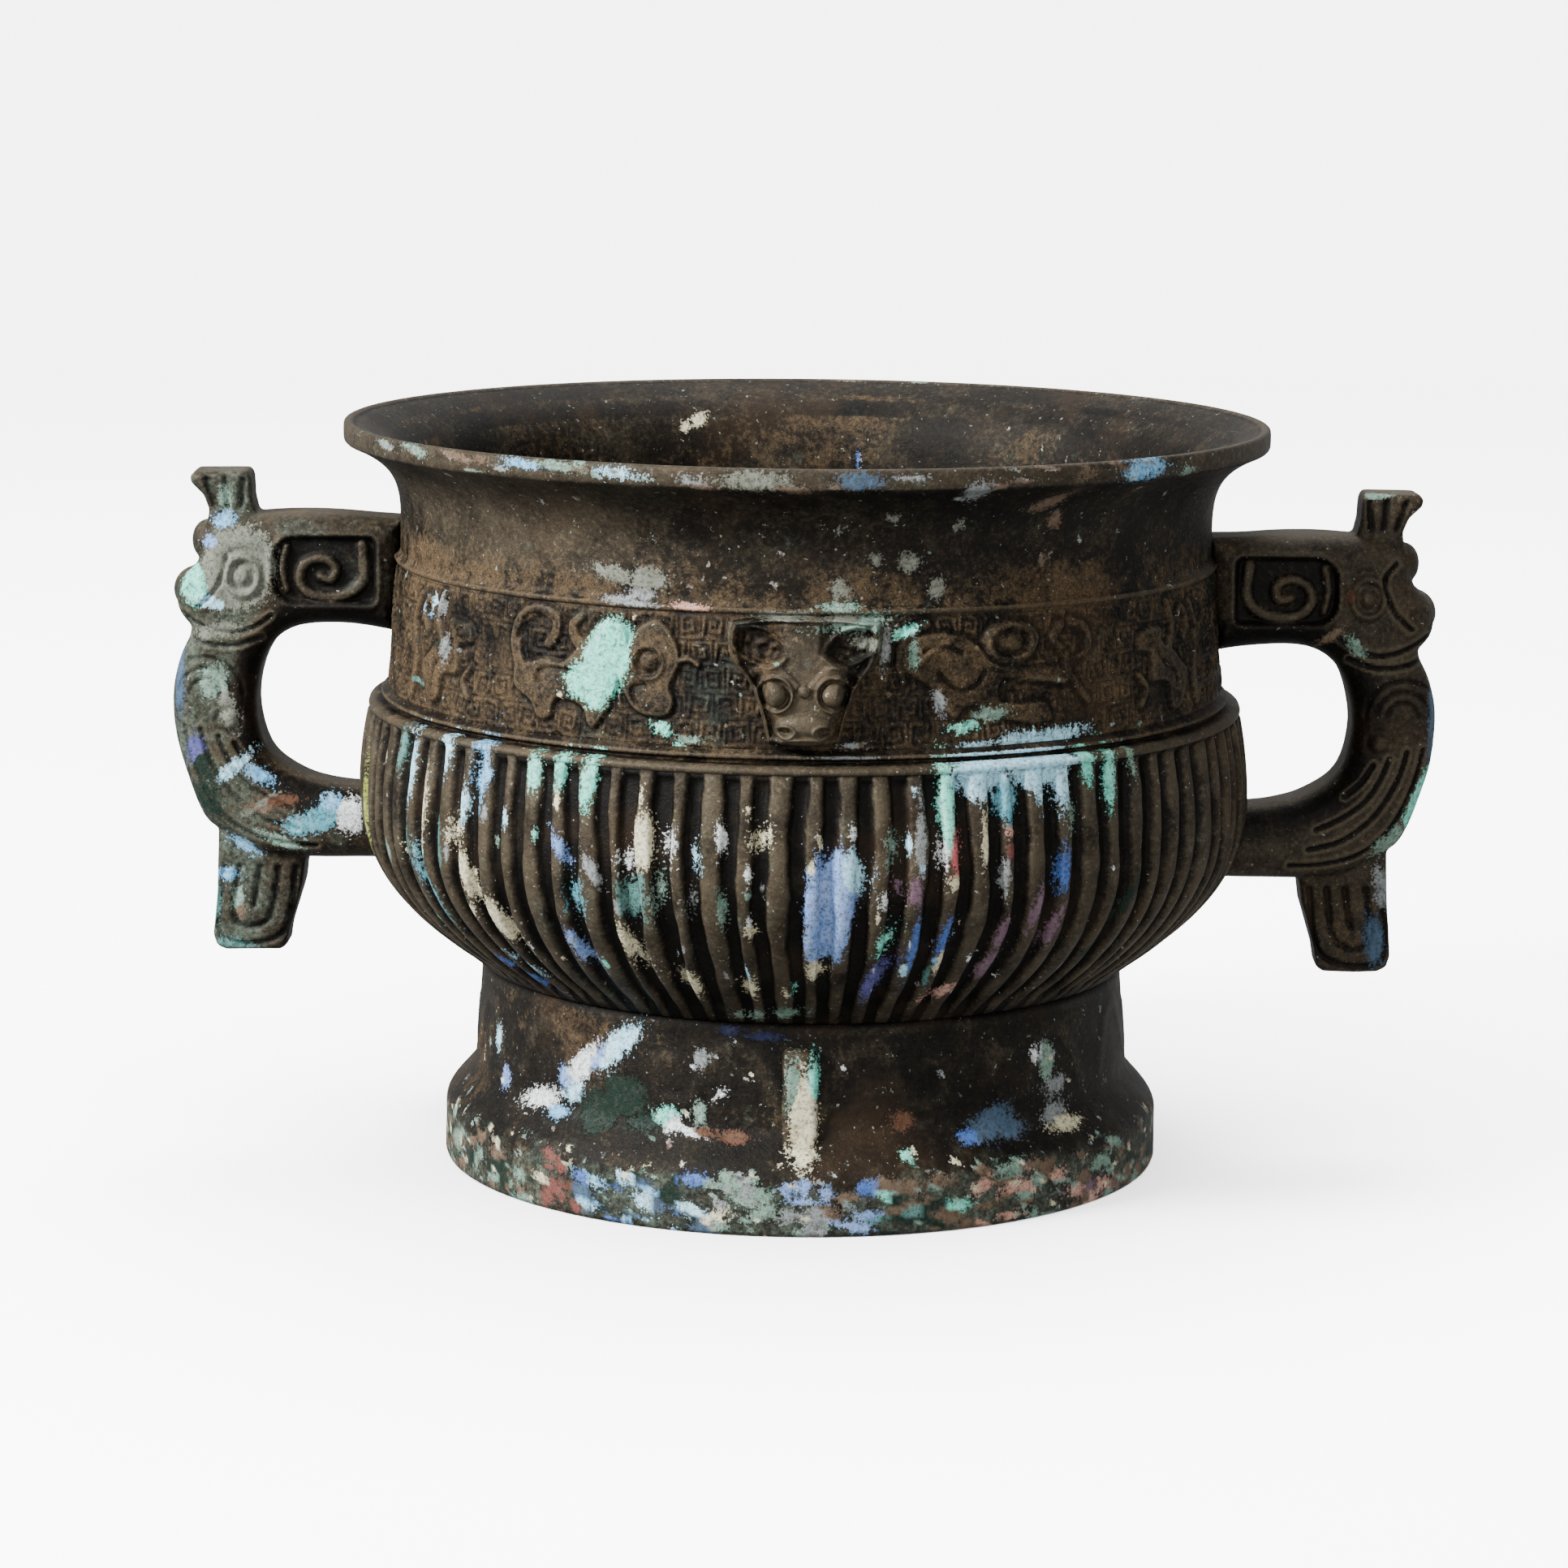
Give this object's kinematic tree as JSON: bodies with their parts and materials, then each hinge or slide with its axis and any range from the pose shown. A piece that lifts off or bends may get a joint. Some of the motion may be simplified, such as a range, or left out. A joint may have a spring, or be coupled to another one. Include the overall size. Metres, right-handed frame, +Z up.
{
  "type": "bronze gui vessel",
  "caption": "Cast bronze ritual food bowl with a ribbed belly, dragon band, beast-head loop handles and a ring foot.",
  "frame": {"origin": "centre of the underside of the ring foot", "axes": "+Z up through the mouth, +X through one handle, -Y out through the front mask"},
  "size_m": [0.2746, 0.1998, 0.1614],
  "materials": {
    "bronze": "dark brown cast bronze, worn on the ridges, with earth, green patina and paint smears"
  },
  "bodies": {
    "root": {"vessel": "bronze"}
  },
  "joints": []
}
